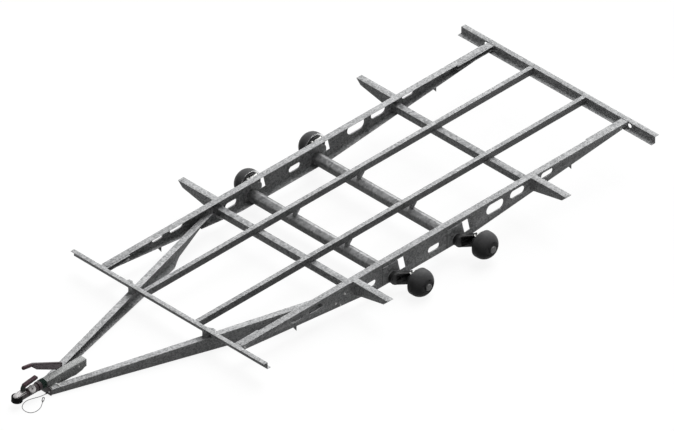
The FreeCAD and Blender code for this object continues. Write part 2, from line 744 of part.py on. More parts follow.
# Axles, their plates and posts, swing arms, backplates and drums
arm_inner_y = tube_end_y + dim.boss_length
arm_boss_y = arm_inner_y + dim.swing_arm_thickness
arm_outer_y = arm_boss_y + dim.swing_arm_crank
neck_face_y = arm_outer_y + dim.hub_neck_length
rim_y = neck_face_y + dim.backplate_sheet + dim.backplate_rim
drum_y = rim_y + dim.drum_gap
outboard = FreeCAD.Rotation(FreeCAD.Vector(0, 0, 1), 90)
crank_yaw = math.atan2(dim.swing_arm_crank.value, dim.hub_set_back.value)
crank_sine = math.sin(crank_yaw)
crank_cosine = math.cos(crank_yaw)
crank_run = dim.hub_set_back / crank_cosine
for row, axle_x in axle_lines.items():
    tube = new_body(f"axle_tube_{row}")
    add(tube, "XZ", -tube_end_y, tube_end_y, hexagon(axle_x, axle_z, dim.tube_flats))
    cut(tube, "XZ", -(tube_end_y + past), tube_end_y + past,
        hexagon(axle_x, axle_z, dim.tube_flats - dim.tube_wall * 2))
    keep(f"axle_tube_{row}", tube)

    plate = new_body(f"axle_plate_{row}_left")
    add(plate, "XZ", rail_outer, rail_outer + dim.plate_sheet, outline(
        (axle_x + dim.plate_front_reach, -dim.plate_top_drop),
        (axle_x + dim.plate_front_reach, -dim.plate_foot_drop),
        (axle_x - dim.plate_rear_reach - dim.window_foot_front + dim.window_top_front, -dim.plate_foot_drop),
        (axle_x - dim.plate_rear_reach, -dim.plate_top_drop)))
    cut(plate, "XZ", rail_outer - past, rail_outer + dim.plate_sheet + past,
        hexagon(axle_x, axle_z, dim.tube_flats))
    keep(f"axle_plate_{row}_left", plate)

    post = new_body(f"bearer_post_{row}_left")
    add(post, "XZ", dim.bearer_y - dim.post_width / 2, dim.bearer_y + dim.post_width / 2, outline(
        (axle_x + dim.post_front_reach, bearer_foot), (axle_x - dim.post_rear_reach, bearer_foot),
        (axle_x - dim.post_rear_reach, bearer_foot - dim.post_heel_depth), (axle_x, -dim.post_toe_drop),
        (axle_x, axle_z), (axle_x + dim.post_front_reach, axle_z)))
    cut(post, "XZ", dim.bearer_y - dim.post_width, dim.bearer_y + dim.post_width,
        hexagon(axle_x, axle_z, dim.tube_flats))
    keep(f"bearer_post_{row}_left", post)

    swing = new_body(f"swing_arm_{row}_left")
    hub_x = axle_x - dim.hub_set_back
    half_thick = dim.swing_arm_thickness / 2
    crank = new_sketch(swing, "XZ", 0)
    crank.AttachmentOffset = FreeCAD.Placement(
        FreeCAD.Vector((axle_x - half_thick * crank_sine).value, axle_z.value,
                       (half_thick * crank_cosine - arm_inner_y - half_thick).value),
        FreeCAD.Rotation(FreeCAD.Vector(0, 1, 0), -math.degrees(crank_yaw)))
    crank.setExpression("AttachmentOffset.Base.z", None)
    link((0, 0), dim.boss_radius, (-crank_run, hub_z - axle_z), dim.swing_arm_end_radius)(crank)
    blade = swing.newObject("PartDesign::Pad", f"{swing.Name}_blade")
    blade.Profile = crank
    blade.Reversed = True
    bind(blade, "Length", dim.swing_arm_thickness)
    cut(swing, "XZ", tube_end_y - past, arm_inner_y, circle(axle_x, axle_z, dim.boss_radius + past))
    add(swing, "XZ", tube_end_y, arm_boss_y, circle(axle_x, axle_z, dim.boss_radius))
    add(swing, "XZ", arm_outer_y - dim.hub_flange, arm_outer_y,
        circle(hub_x, hub_z, dim.swing_arm_end_radius))
    add(swing, "XZ", arm_outer_y, neck_face_y, circle(hub_x, hub_z, dim.hub_neck_radius))
    add(swing, "XZ", neck_face_y, neck_face_y + dim.stub_length, circle(hub_x, hub_z, dim.stub_radius))
    keep(f"swing_arm_{row}_left", swing)

    backplate = new_body(f"backplate_{row}_left")
    inner = dim.stub_radius
    outer = dim.backplate_radius
    disc = dim.backplate_sheet
    turned(backplate, "Revolution", outline(
        (0, inner), (0, outer), (disc + dim.backplate_rim, outer),
        (disc + dim.backplate_rim, outer - disc), (disc, outer - disc), (disc, inner)))
    keep(f"backplate_{row}_left", backplate, hub_x, neck_face_y, hub_z, outboard)

    drum = new_body(f"brake_drum_{row}_left")
    radius = dim.drum_radius
    face = dim.drum_depth
    dome = dim.drum_dome_depth
    spigot_face = face + dim.spigot_height
    cap_face = spigot_face + dim.cap_height
    bore = dim.stub_radius + dim.running_clearance
    bore_end = neck_face_y + dim.stub_length + dim.stub_end_gap - drum_y
    inside = radius - dim.drum_wall
    turned(drum, "Revolution", outline(
        (0, radius), (dome, radius), (dome, 0), (bore_end, 0), (bore_end, bore),
        (dim.hub_core_start, bore), (dim.hub_core_start, dim.hub_core_radius),
        (face - dim.drum_face, dim.hub_core_radius), (face - dim.drum_face, dim.drum_cavity_face_radius),
        (dim.drum_cavity_crown_x, dim.drum_cavity_crown_radius),
        (dim.drum_cavity_shoulder_x, dim.drum_cavity_shoulder_radius),
        (dome - dim.drum_dome_radius, inside), (0, inside)))
    rounded(drum, "Fillet", dim.drum_dome_radius, lambda edge: edge.Curve.TypeId == "Part::GeomCircle"
            and abs(edge.Curve.Radius - radius.value) < CLOSE
            and abs(edge.Curve.Center.x - dome.value) < CLOSE)
    cut(drum, "YZ", face, dome + past, circle(0, 0, radius + past))
    turned(drum, "Revolution", outline(
        (bore_end, 0), (cap_face, 0), (cap_face, dim.cap_radius), (spigot_face, dim.cap_radius),
        (spigot_face, dim.spigot_radius), (bore_end, dim.spigot_radius)))
    rounded(drum, "Fillet", dim.cap_crown, lambda edge: edge.Curve.TypeId == "Part::GeomCircle"
            and abs(edge.Curve.Center.x - cap_face.value) < CLOSE)
    bolt_hole = cut(drum, "YZ", face - dim.wheel_bolt_depth, face + past,
                    circle(dim.wheel_bolt_circle / 2, 0, dim.wheel_bolt_radius))
    bolt_ring = drum.newObject("PartDesign::PolarPattern", f"{drum.Name}_bolts")
    bolt_ring.Originals = [bolt_hole]
    bolt_ring.Axis = (bolt_hole.Profile[0], ["N_Axis"])
    bolt_ring.Angle = 360
    bolt_ring.Occurrences = wheel_bolt_count
    drum.Tip = bolt_ring
    keep(f"brake_drum_{row}_left", drum, hub_x, drum_y, hub_z, outboard)

# Overrun housing: a casting that sits on the drawbar's flanges, its belly between the arms
housing = new_body("overrun_housing")
half = dim.housing_width / 2
top_z = -dim.housing_top_drop
housing_foot = top_z - dim.housing_foot_depth
add(housing, "XZ", -half, half, outline(
    (nose_x, top_z), (nose_x, -dim.nose_plate_top_drop), (dim.arm_front_x, -dim.nose_plate_top_drop),
    (dim.arm_front_x, -dim.arm_drop), (dim.housing_seat_x, -dim.arm_drop),
    (dim.housing_seat_x, housing_foot), (dim.housing_belly_x, housing_foot),
    (dim.housing_belly_rear_x, top_z - dim.housing_belly_depth),
    (dim.housing_step_front_x, top_z - dim.housing_step_depth),
    (dim.housing_step_x, top_z - dim.housing_rear_depth),
    (dim.housing_rear_x, top_z - dim.housing_rear_depth), (dim.housing_rear_x, top_z)))
rounded(housing, "Fillet", dim.housing_edge_radius, lambda edge: along(edge, (1, 0, 0))
        and abs(edge.CenterOfMass.z - top_z.value) < CLOSE)
keep("overrun_housing", housing)

# Nose plate: a black plate across the front ends of both arms
nose = new_body("nose_plate")
nose_half = dim.nose_plate_half_width
add(nose, "YZ", dim.arm_front_x, nose_x, outline(
    (-nose_half, -dim.nose_plate_top_drop), (nose_half, -dim.nose_plate_top_drop),
    (nose_half, -dim.nose_plate_foot_drop), (-nose_half, -dim.nose_plate_foot_drop)))
keep("nose_plate", nose)

# Bellows over the draw shaft: folds of rubber between the housing and the coupling head
bellows = new_body("shaft_bellows")
fold_count = 5
fold = dim.bellows_length / (fold_count * 2)
folds = [(0, 0), (0, dim.bellows_end_radius)]
for index in range(fold_count):
    folds.append((fold * (index * 2 + 1), dim.bellows_radius))
    if index < fold_count - 1:
        folds.append((fold * (index * 2 + 2), dim.bellows_root_radius))
folds += [(dim.bellows_length, dim.bellows_end_radius), (dim.bellows_length, 0)]
turned(bellows, "Revolution", outline(*folds))
keep("shaft_bellows", bellows, nose_x, 0, -dim.shaft_drop)

# Coupling head: sleeve on the shaft, pressed hood and round cup with the ball socket
head = new_body("coupling_head")
cup_crown = -dim.cup_crown_drop
cup_foot = -dim.cup_foot_drop
add(head, "XY", cup_foot, cup_crown, circle(dim.socket_x, 0, dim.cup_radius))
rounded(head, "Fillet", dim.cup_crown_radius, lambda edge: edge.Curve.TypeId == "Part::GeomCircle"
        and abs(edge.Curve.Center.z - cup_crown.value) < CLOSE)
add(head, "XZ", -dim.hood_half_width, dim.hood_half_width, outline(
    (dim.hood_nose_x, -dim.hood_nose_drop), (dim.hood_peak_front_x, -dim.hood_peak_drop),
    (dim.hood_peak_rear_x, -dim.hood_peak_drop), (dim.hood_back_x, -dim.hood_back_drop),
    (head_rear_x, -dim.hood_back_drop), (head_rear_x, cup_foot), (dim.hood_nose_x, cup_foot)))
add(head, "YZ", head_rear_x, dim.sleeve_front_x, circle(0, -dim.shaft_drop, dim.sleeve_radius))
cut(head, "XY", cup_foot - past, -dim.socket_drop, circle(dim.socket_x, 0, dim.socket_radius))
dome = head.newObject("PartDesign::SubtractiveSphere", "coupling_head_dome")
bind(dome, "Radius", dim.socket_radius)
bind(dome, "Placement.Base.x", dim.socket_x)
bind(dome, "Placement.Base.z", -dim.socket_drop)
keep("coupling_head", head)

# Black ring round the lower edge of the cup
ring = new_body("cup_ring")
add(ring, "XY", cup_foot, -dim.ring_top_drop,
    circle(dim.socket_x, 0, dim.cup_radius + dim.ring_sheet), circle(dim.socket_x, 0, dim.cup_radius))
cut(ring, "XZ", -dim.hood_half_width, dim.hood_half_width, outline(
    (dim.socket_x, -dim.ring_top_drop + past), (dim.socket_x, cup_foot - past),
    (dim.socket_x - dim.cup_radius * 2, cup_foot - past),
    (dim.socket_x - dim.cup_radius * 2, -dim.ring_top_drop + past)))
keep("cup_ring", ring)

# Coupling handle: a thick lever that rises backwards over the head, on a leg in front
handle = new_body("coupling_handle")
add(handle, "XZ", -dim.handle_half_width, dim.handle_half_width, link(
    (dim.handle_pivot_x, dim.handle_pivot_rise), dim.handle_half_height,
    (dim.handle_end_x, dim.handle_end_rise), dim.handle_half_height))
leg_front = dim.handle_pivot_x + dim.handle_half_height
add(handle, "XZ", -dim.handle_half_width, dim.handle_half_width, outline(
    (leg_front, dim.handle_pivot_rise), (leg_front, -dim.hood_peak_drop),
    (dim.hood_peak_rear_x, -dim.hood_peak_drop), (dim.hood_peak_rear_x, dim.handle_pivot_rise)))
keep("coupling_handle", handle)

# Handbrake lever: a folded channel on the right of the housing, bent level at its top
lever_inner = -(half + dim.lever_gap)
lever_outer = lever_inner - dim.lever_width
lever_end_height = dim.lever_end_rise - dim.lever_end_foot_rise
lever_foot_x = dim.lever_end_x + lever_end_height * dim.grip_lift / dim.grip_length
lever = new_body("handbrake_lever")
add(lever, "XZ", lever_outer, lever_inner, outline(
    (dim.lever_root_x, -dim.lever_root_foot_drop), (dim.lever_elbow_x, dim.lever_elbow_foot_rise),
    (lever_foot_x, dim.lever_end_foot_rise), (dim.lever_end_x, dim.lever_end_rise),
    (dim.lever_bend_x, dim.lever_bend_rise), (dim.lever_root_x, dim.lever_root_rise)))
add(lever, "XZ", lever_outer - dim.lever_bolt_head, -half,
    circle(dim.lever_bolt_x, -dim.lever_bolt_drop, dim.lever_bolt_radius))
keep("handbrake_lever", lever)

# Handbrake grip: a moulded sleeve on the lever's end
grip = new_body("handbrake_grip")
turned(grip, "Revolution", outline(
    (0, 0), (0, dim.grip_neck_radius), (dim.grip_tip_length, dim.grip_radius),
    (dim.grip_length - dim.grip_tip_length, dim.grip_radius),
    (dim.grip_length, dim.grip_neck_radius), (dim.grip_length, 0)))
grip_lean = -math.degrees(math.atan2(dim.grip_lift.value, dim.grip_length.value))
keep("handbrake_grip", grip, (dim.lever_end_x + lever_foot_x) / 2, (lever_inner + lever_outer) / 2,
     (dim.lever_end_rise + dim.lever_end_foot_rise) / 2, FreeCAD.Rotation(FreeCAD.Vector(0, 1, 0), grip_lean))

# Anchor of the breakaway cable: a crimped sleeve on the front of the nose plate
anchor = new_body("cable_anchor")
add(anchor, "YZ", nose_x, nose_x + dim.anchor_length, circle(dim.anchor_y, -dim.anchor_drop, dim.anchor_radius))
keep("cable_anchor", anchor)

# Resting attitude: nose down about the left-right axis until the nose plate meets the floor
front_hub_x = (axle_lines["front"] - dim.hub_set_back).value
nose_run = nose_x.value - front_hub_x
nose_rise = hub_z.value + dim.nose_plate_foot_drop.value
nose_lean = math.atan2(nose_rise, nose_run)
tip_angle = math.asin(dim.drum_radius.value / math.hypot(nose_run, nose_rise)) - nose_lean
tip = FreeCAD.Rotation(FreeCAD.Vector(0, 1, 0), math.degrees(tip_angle))
hub_centre = tip.multVec(FreeCAD.Vector(front_hub_x, 0, hub_z.value))
rest = FreeCAD.Placement(FreeCAD.Vector(0, 0, dim.drum_radius.value - hub_centre.z), tip)
for label, piece in pieces.items():
    piece.Placement = rest.multiply(places[label])
doc.recompute()
box = FreeCAD.BoundBox()
for piece in pieces.values():
    box.add(piece.Shape.optimalBoundingBox(False))
rest.Base.x = -(box.XMin + box.XMax) / 2
for label, piece in pieces.items():
    piece.Placement = rest.multiply(places[label])

# Breakaway cable: a wire rope from its anchor, in one loose loop on the floor, to a snap clip.
# Its points are places on the floor, in millimetres from the origin.
cable_route = [
    (2715.7, 36, 9.8),
    (2746, 36, 8),
    (2788, 22, 2.5),
    (2836, 6, 2.5),
    (2889, -3, 2.5),
    (2940, 12, 2.5),
    (2984, 44, 2.5),
    (3003, 95, 2.5),
    (2988, 143, 2.5),
    (2940, 158, 2.5),
    (2884, 146, 2.5),
    (2842, 122, 2.5),
    (2810, 97, 5),
]


def swept(path, radius):
    """A round bar or rope along a path of lines and arcs."""
    start = path.Edges[0]
    rim = Part.Circle(start.valueAt(start.FirstParameter), start.tangentAt(start.FirstParameter), radius)
    return path.makePipeShell([Part.Wire(rim.toShape())], True, False)


def rope_path(points):
    """Straight runs joined by arcs, each as wide as the shorter of its two runs allows."""
    edges = []
    last = points[0]
    for before, here, after in zip(points, points[1:], points[2:]):
        back = (before - here).normalize()
        on = (after - here).normalize()
        touch = rope_bend_share * min(here.distanceToPoint(before), here.distanceToPoint(after))
        half_turn = (math.pi - back.getAngle(on)) / 2
        bend = touch / math.tan(half_turn)
        middle_line = (back + on).normalize()
        middle = here + middle_line * (bend / math.cos(half_turn) - bend)
        print(f"cable bend radius {bend:.0f}")
        edges.append(Part.LineSegment(last, here + back * touch).toShape())
        edges.append(Part.Arc(here + back * touch, middle, here + on * touch).toShape())
        last = here + on * touch
    edges.append(Part.LineSegment(last, points[-1]).toShape())
    return Part.Wire(edges)


def fixed(label, shape):
    """A piece that is already where it lies."""
    piece = doc.addObject("Part::Feature", label)
    piece.Label = label
    piece.Shape = shape
    return piece


route = [FreeCAD.Vector(*place) for place in cable_route]
route_wire = rope_path(route)
cable_radius = dim.cable_radius.value
cable = swept(route_wire, cable_radius)
print(f"cable length {route_wire.Length:.0f}, volume share "
      f"{cable.Volume / (route_wire.Length * math.pi * cable_radius ** 2):.4f}")

# Snap clip on the cable's end: a crimped sleeve and a long oval ring, flat on the floor
end = route[-1]
aim = end - route[-2]
aim.z = 0
aim.normalize()
sideways = FreeCAD.Vector(-aim.y, aim.x, 0)
crimp = Part.makeCylinder(dim.crimp_radius.value, dim.crimp_length.value, end, aim)
wire = dim.clip_wire_radius.value
bend = dim.clip_width.value / 2 - wire
heel = end + aim * (dim.crimp_length.value + bend)
heel.z = dim.clip_wire_rise.value
toe = heel + aim * (dim.clip_length.value - 2 * (bend + wire))
oval = Part.Wire([
    Part.LineSegment(heel + sideways * bend, toe + sideways * bend).toShape(),
    Part.Arc(toe + sideways * bend, toe + aim * bend, toe - sideways * bend).toShape(),
    Part.LineSegment(toe - sideways * bend, heel - sideways * bend).toShape(),
    Part.Arc(heel - sideways * bend, heel - aim * bend, heel + sideways * bend).toShape(),
])
clip = crimp.fuse(swept(oval, wire)).removeSplitter()

# The right-hand pieces, and the pieces that share a node
nodes = {}
for label, piece in pieces.items():
    if label.endswith("_left"):
        nodes[label] = piece
        nodes[label.replace("_left", "_right")] = mirror(label.replace("_left", "_right"), piece)
    else:
        nodes[label] = piece


def gather(label, members):
    """Move like pieces into one node."""
    nodes[label] = group(label, [nodes.pop(member) for member in members])


gather("front_spacers", ["front_spacer_left", "front_spacer_right"])
gather("steady_tabs", [f"steady_tab_{row}_{side}" for row in ("front", "rear") for side in ("left", "right")])
gather("bearer_posts", [f"bearer_post_{row}_{side}" for row in ("front", "rear") for side in ("left", "right")])
for row in axle_lines:
    gather(f"axle_plates_{row}", [f"axle_plate_{row}_left", f"axle_plate_{row}_right"])
    gather(f"rail_extensions_{row}", [f"rail_extension_{row}_left", f"rail_extension_{row}_right"])

nodes["breakaway_cable"] = fixed("breakaway_cable", cable)
nodes["cable_clip"] = fixed("cable_clip", clip)
doc.recompute()
for item in doc.Objects:
    faults = [state for state in item.State if state in ("Invalid", "Error")]
    if faults:
        raise SystemExit(f"{item.Label} did not build: {faults}")
os.makedirs("parts", exist_ok=True)
for label, node in nodes.items():
    shape = node.Shape
    if shape.isNull() or not shape.isValid() or not shape.Solids:
        raise SystemExit(f"{label} has no valid solid")
    shape.exportStep(f"parts/{label}.step")
    print(f"{label}: {len(shape.Solids)} solid, {shape.Volume / 1000:.1f} cm3")
print(f"rest: {math.degrees(tip_angle):.4f} degrees, base {rest.Base.x:.3f} {rest.Base.z:.3f}")
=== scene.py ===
import math

import bmesh
import bpy
from mathutils import Matrix, Vector


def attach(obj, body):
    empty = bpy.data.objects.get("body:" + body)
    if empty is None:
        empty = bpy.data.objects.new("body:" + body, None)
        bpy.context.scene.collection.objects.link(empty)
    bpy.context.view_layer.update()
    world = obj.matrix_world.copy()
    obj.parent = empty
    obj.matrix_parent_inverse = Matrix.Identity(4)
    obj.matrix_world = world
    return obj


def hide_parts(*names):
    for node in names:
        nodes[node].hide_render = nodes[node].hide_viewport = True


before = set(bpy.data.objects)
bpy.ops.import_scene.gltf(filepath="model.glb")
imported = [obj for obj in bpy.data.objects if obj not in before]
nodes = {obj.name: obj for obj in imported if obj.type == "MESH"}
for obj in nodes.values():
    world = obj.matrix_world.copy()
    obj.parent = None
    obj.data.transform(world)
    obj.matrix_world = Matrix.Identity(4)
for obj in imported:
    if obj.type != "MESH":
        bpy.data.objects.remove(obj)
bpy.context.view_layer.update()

# Side rails. Each is one channel folded from 3 mm steel sheet, open inwards, with lipped slots and
# windows in its web, and then dipped in molten zinc. The dip leaves a grey skin that is mottled like
# frost, with duller clouds, faint runs and darker, rougher patches where the zinc went on thin.


class Wire:
    """One output socket of a finish's nodes, on which Python's own signs do the maths."""

    def __init__(self, finish, socket):
        self.finish = finish
        self.socket = socket

    def maths(self, operation, first, second):
        return self.finish.add("ShaderNodeMath", {"operation": operation}, {0: first, 1: second})

    def __add__(self, other):
        return self.maths("ADD", self, other)

    def __radd__(self, other):
        return self.maths("ADD", other, self)

    def __mul__(self, other):
        return self.maths("MULTIPLY", self, other)

    def __rmul__(self, other):
        return self.maths("MULTIPLY", other, self)


class Finish:
    """The nodes of a material, or of the world, added one call at a time."""

    def __init__(self, owner):
        self.owner = owner
        self.owner.use_nodes = True
        self.nodes = owner.node_tree.nodes
        self.links = owner.node_tree.links
        self.nodes.clear()

    def add(self, kind, settings=None, values=None, output=0):
        """A node by its type, with its settings first and then its sockets' values or links."""
        made = self.nodes.new(kind)
        for name, value in (settings or {}).items():
            setattr(made, name, value)
        for name, value in (values or {}).items():
            if isinstance(value, Wire):
                self.links.new(value.socket, made.inputs[name])
            else:
                made.inputs[name].default_value = value
        return Wire(self, made.outputs[output]) if made.outputs else None

    def place(self, scale=(1, 1, 1)):
        """Where a point is on the piece, in metres, scaled before a pattern reads it."""
        spot = self.add("ShaderNodeTexCoord", output="Object")
        return self.add("ShaderNodeMapping", None, {"Vector": spot, "Scale": scale})

    def noise(self, where, scale, detail=2, roughness=0.5):
        return self.add("ShaderNodeTexNoise", None, {
            "Vector": where, "Scale": scale, "Detail": detail, "Roughness": roughness})

    def span(self, value, low, high, new_low, new_high):
        """A value stretched from one range to another and held inside it."""
        return self.add("ShaderNodeMapRange", None, {
            "Value": value, "From Min": low, "From Max": high, "To Min": new_low, "To Max": new_high})

    def mix(self, share, first, second):
        """Two colours mixed, each a wire or three numbers."""
        first, second = [item if isinstance(item, Wire) else (*item, 1) for item in (first, second)]
        return self.add("ShaderNodeMix", {"data_type": "RGBA"}, {0: share, 6: first, 7: second}, 2)

    def bump(self, height, strength, distance):
        return self.add("ShaderNodeBump", None, {
            "Height": height, "Strength": strength, "Distance": distance})

    def surface(self, **values):
        """The finished material, from the shader's sockets by name with underscores for spaces."""
        named = {name.replace("_", " "): value for name, value in values.items()}
        if isinstance(named["Base Color"], tuple):
            named["Base Color"] = (*named["Base Color"], 1)
        shader = self.add("ShaderNodeBsdfPrincipled", None, named)
        self.add("ShaderNodeOutputMaterial", None, {"Surface": shader})
        return self.owner


def galvanised(name, light, dark, spangle, pits=0.0012, painted_side_tone=1):
    """Hot-dip zinc: frost-like cells over soft clouds, between a light and a dark grey.

    Faces tilted away from straight up get painted shade: they keep only the share given of their colour, so
    the top reads brighter.
    """
    zinc = Finish(bpy.data.materials.new(name))
    spot = zinc.place()
    cell = zinc.add("ShaderNodeTexVoronoi", None, {"Vector": spot, "Scale": spangle}, "Color")
    frost = zinc.add("ShaderNodeSeparateColor", None, {"Color": cell}, "Red")
    clouds = zinc.noise(spot, scale=6, detail=5, roughness=0.6)
    runs = zinc.noise(zinc.place((4, 4, 30)), scale=3, detail=3)
    grit = zinc.noise(spot, scale=240, detail=3, roughness=0.7)
    tone = frost * 0.34 + clouds * 0.36 + runs * 0.16 + grit * 0.14
    colour = zinc.mix(zinc.span(tone, 0.32, 0.68, 0, 1), dark, light)
    # Painted shade: faces tilted away from straight up are mixed towards black, so the top reads brighter
    # than the sides.
    if painted_side_tone < 1:
        facing = zinc.add("ShaderNodeNewGeometry", output="Normal")
        level = zinc.add("ShaderNodeSeparateXYZ", None, {"Vector": facing}, "Z")
        colour = zinc.mix(zinc.span(level, 0.9, 0.97, 1 - painted_side_tone, 0), colour, (0, 0, 0))
    patches = zinc.noise(spot, scale=24, detail=6, roughness=0.75)
    thin = zinc.span(patches, 0.58, 0.7, 0, 0.6)
    colour = zinc.mix(thin, colour, tuple(shade * 0.6 for shade in dark))
    rough = zinc.span(frost * 0.4 + grit * 0.6 + thin * 0.5, 0.2, 0.9, 0.46, 0.7)
    skin = zinc.bump(frost * 0.4 + grit * 0.6, 0.2, pits)
    return zinc.surface(Base_Color=colour, Metallic=0.05, Roughness=rough, Specular_IOR_Level=0.3,
                        Normal=skin)


def plain(name, colour, roughness, grain=0, size=400, **values):
    """One colour, with a fine grain that mottles it a little and roughens it where it has any."""
    coat = Finish(bpy.data.materials.new(name))
    if grain:
        spot = coat.place()
        pattern = coat.noise(spot, size, detail=4, roughness=0.65)
        broad = coat.noise(spot, scale=17, detail=4, roughness=0.6)
        shade = coat.span(pattern * 0.5 + broad * 0.5, 0.35, 0.65, 0, 1)
        values["Normal"] = coat.bump(pattern, 0.5, grain)
        values["Roughness"] = coat.span(broad, 0.3, 0.7, roughness - 0.07, roughness + 0.09)
        darker = tuple(part * 0.72 for part in colour)
        lighter = tuple(part * 1.25 for part in colour)
        colour = coat.mix(shade, darker, lighter)
    return coat.surface(**{"Base_Color": colour, "Roughness": roughness, **values})


def softened(shell, lines, width, steps):
    """Edges rounded off by a width, in a number of steps."""
    bmesh.ops.bevel(shell, geom=lines, offset=width, offset_type="OFFSET", affect="EDGES", segments=steps,
                    profile=0.5, material=-1, clamp_overlap=False)


def clean_copy(node, edge=0):
    """A mesh copy of a CAD piece, in metres, with triangles merged and sharp corners broken."""
    same_place = 0.00002
    flat = math.radians(0.5)
    corner = math.radians(50)
    shell = bmesh.new()
    shell.from_mesh(nodes[node].data)
    bmesh.ops.remove_doubles(shell, verts=shell.verts, dist=same_place)
    bmesh.ops.dissolve_limit(shell, angle_limit=flat, verts=shell.verts, edges=shell.edges)
    if edge:
        sharp = [line for line in shell.edges
                 if len(line.link_faces) == 2 and line.calc_face_angle() > corner]
        softened(shell, sharp, edge, 2)
    return shell


def finished(name, shell, material, body="chassis", tipped=True, smooth=32):
    """The mesh as a piece of the scene: tipped to its rest, shaded, painted, and riding on its body."""
    if tipped:
        bmesh.ops.recalc_face_normals(shell, faces=shell.faces)
        bmesh.ops.transform(shell, matrix=rest_place, verts=shell.verts)
    for face in shell.faces:
        face.smooth = True
    for line in shell.edges:
        line.smooth = len(line.link_faces) == 2 and line.calc_face_angle() < math.radians(smooth)
    mesh = bpy.data.meshes.new(name)
    shell.to_mesh(mesh)
    shell.free()
    mesh.materials.append(material)
    piece = bpy.data.objects.new(name, mesh)
    bpy.context.scene.collection.objects.link(piece)
    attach(piece, body)
    return piece


def dressed(node, material, edge=0.0006, body="chassis", smooth=32):
    """A CAD piece's own shape with broken corners, in its place."""
    piece = finished(f"{node}_made", clean_copy(node, edge), material, body, False, smooth)
    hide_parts(node)
    return piece


def aimed(place, aim):
    """The matrix that stands an upright shape at a place, along an aim."""
    return Matrix.Translation(place) @ Vector((0, 0, 1)).rotation_difference(aim).to_matrix().to_4x4()


def rod(shell, start, aim, radius, length, tip=None, corners=24):
    """A round or cornered bar from a place along an aim, tapered where it is given another tip."""
    bmesh.ops.create_cone(shell, cap_ends=True, segments=corners, radius1=radius,
                          radius2=radius if tip is None else tip, depth=length,
                          matrix=aimed(start + aim * (length / 2), aim))


def bolt(shell, place, aim, flats):
    """A washer, a hexagon head and its chamfer, standing on a face."""
    washer = flats * 0.12
    head = flats * 0.4
    chamfer = flats * 0.07
    corner = flats / math.sqrt(3)
    rod(shell, place, aim, flats * 0.66, washer)
    rod(shell, place + aim * washer, aim, corner, head, corners=6)
    rod(shell, place + aim * (washer + head), aim, corner * 0.97, chamfer, flats * 0.46, 6)


# The chassis is drawn level in millimetres, with zero height on top of the frame, and rests nose down
# on the nose plate and the front drums. CAD pieces already stand so, and new meshes are tipped alike.
rest_shift = (-0.674034, 0, 0.332701)
rest_tilt = math.radians(3.456)
rest_turn = Matrix.Translation(rest_shift) @ Matrix.Rotation(rest_tilt, 4, "Y")
rest_place = rest_turn @ Matrix.Scale(0.001, 4)
sides = {"left": 1, "right": -1}
rail_face = 779
arm_bolt_places = ((856, -67), (956, -113), (905, -150))
arm_bolt_flats = 16
sheet_zinc = galvanised("galvanised sheet", (0.63, 0.635, 0.64), (0.25, 0.255, 0.26), 80)
bolt_zinc = plain("bolt zinc", (0.55, 0.55, 0.54), 0.35, Metallic=0.5)
for side, out in sides.items():
    dressed(f"rail_{side}", sheet_zinc)
    shell = bmesh.new()
    for x, z in arm_bolt_places:
        bolt(shell, Vector((x, out * rail_face, z)), Vector((0, out, 0)), arm_bolt_flats)
    finished(f"arm_to_rail_bolts_{side}", shell, bolt_zinc)

# Rail extensions and cross beams. Shallower channels nest in both ends of each rail and reach to a Z
# section across the front and another across the rear. All are folded sheet, welded and bolted.


def edges_round(knots):
    """The edges that join a ring of fresh corners."""
    return list({line for knot in knots for line in knot.link_edges})


def skinned(shell, rings):
    """Rings of edges joined one to the next, with both ends closed."""
    for near, far in zip(rings, rings[1:]):
        bmesh.ops.bridge_loops(shell, edges=near + far)
    for end in (rings[0], rings[-1]):
        bmesh.ops.edgeloop_fill(shell, edges=end)


def pipe(shell, places, radii, corners=12):
    """A closed tube through places, with its own radius at each."""
    rings = []
    for index, (place, radius) in enumerate(zip(places, radii)):
        ahead = places[min(index + 1, len(places) - 1)] - places[max(index - 1, 0)]
        ring = bmesh.ops.create_circle(shell, segments=corners, radius=radius, matrix=aimed(place, ahead))
        rings.append(edges_round(ring["verts"]))
    skinned(shell, rings)


def bead(shell, start, end, size):
    """A rippled weld bead, half sunk in the joint between two places."""
    count = max(3, round((end - start).length / (size * 0.7)))
    places = [start.lerp(end, step / count) for step in range(count + 1)]
    pipe(shell, places, [size * (1 if step % 2 else 0.8) for step in range(count + 1)], 8)


extension_bolt_rows = (1960, -2240)
extension_bolt_z = -24
extension_bolt_flats = 13
beam_faces = (2000, -2327)
seam_lines = (712, 766)
seam_top = -4
seam_foot = -42
seam_size = 2.5
for end in ("front", "rear"):
    dressed(f"rail_extensions_{end}", sheet_zinc)
dressed("front_member", sheet_zinc)
dressed("rear_beam", sheet_zinc)
shell = bmesh.new()
for out in sides.values():
    for x in extension_bolt_rows:
        place = Vector((x, out * rail_face, extension_bolt_z))
        bolt(shell, place, Vector((0, out, 0)), extension_bolt_flats)
    for y in seam_lines:
        for x in beam_faces:
            bead(shell, Vector((x, out * y, seam_top)), Vector((x, out * y, seam_foot)), seam_size)
finished("extension_bolts", shell, bolt_zinc)

# Floor bearers. Two square-cornered tubes run the whole length under the floor, their ends resting
# in the cross beams' foot flanges. They carry the same zinc, with painted shade on their sides so the top
# reads brighter.
# Painted shade: faces of the bearers that do not face straight up keep only 0.48 of their zinc colour.
bearer_zinc = galvanised("galvanised tube", (0.65, 0.655, 0.66), (0.24, 0.245, 0.25), 80, painted_side_tone=0.48)
for side in sides:
    dressed(f"floor_bearer_{side}", bearer_zinc, edge=0.0015)

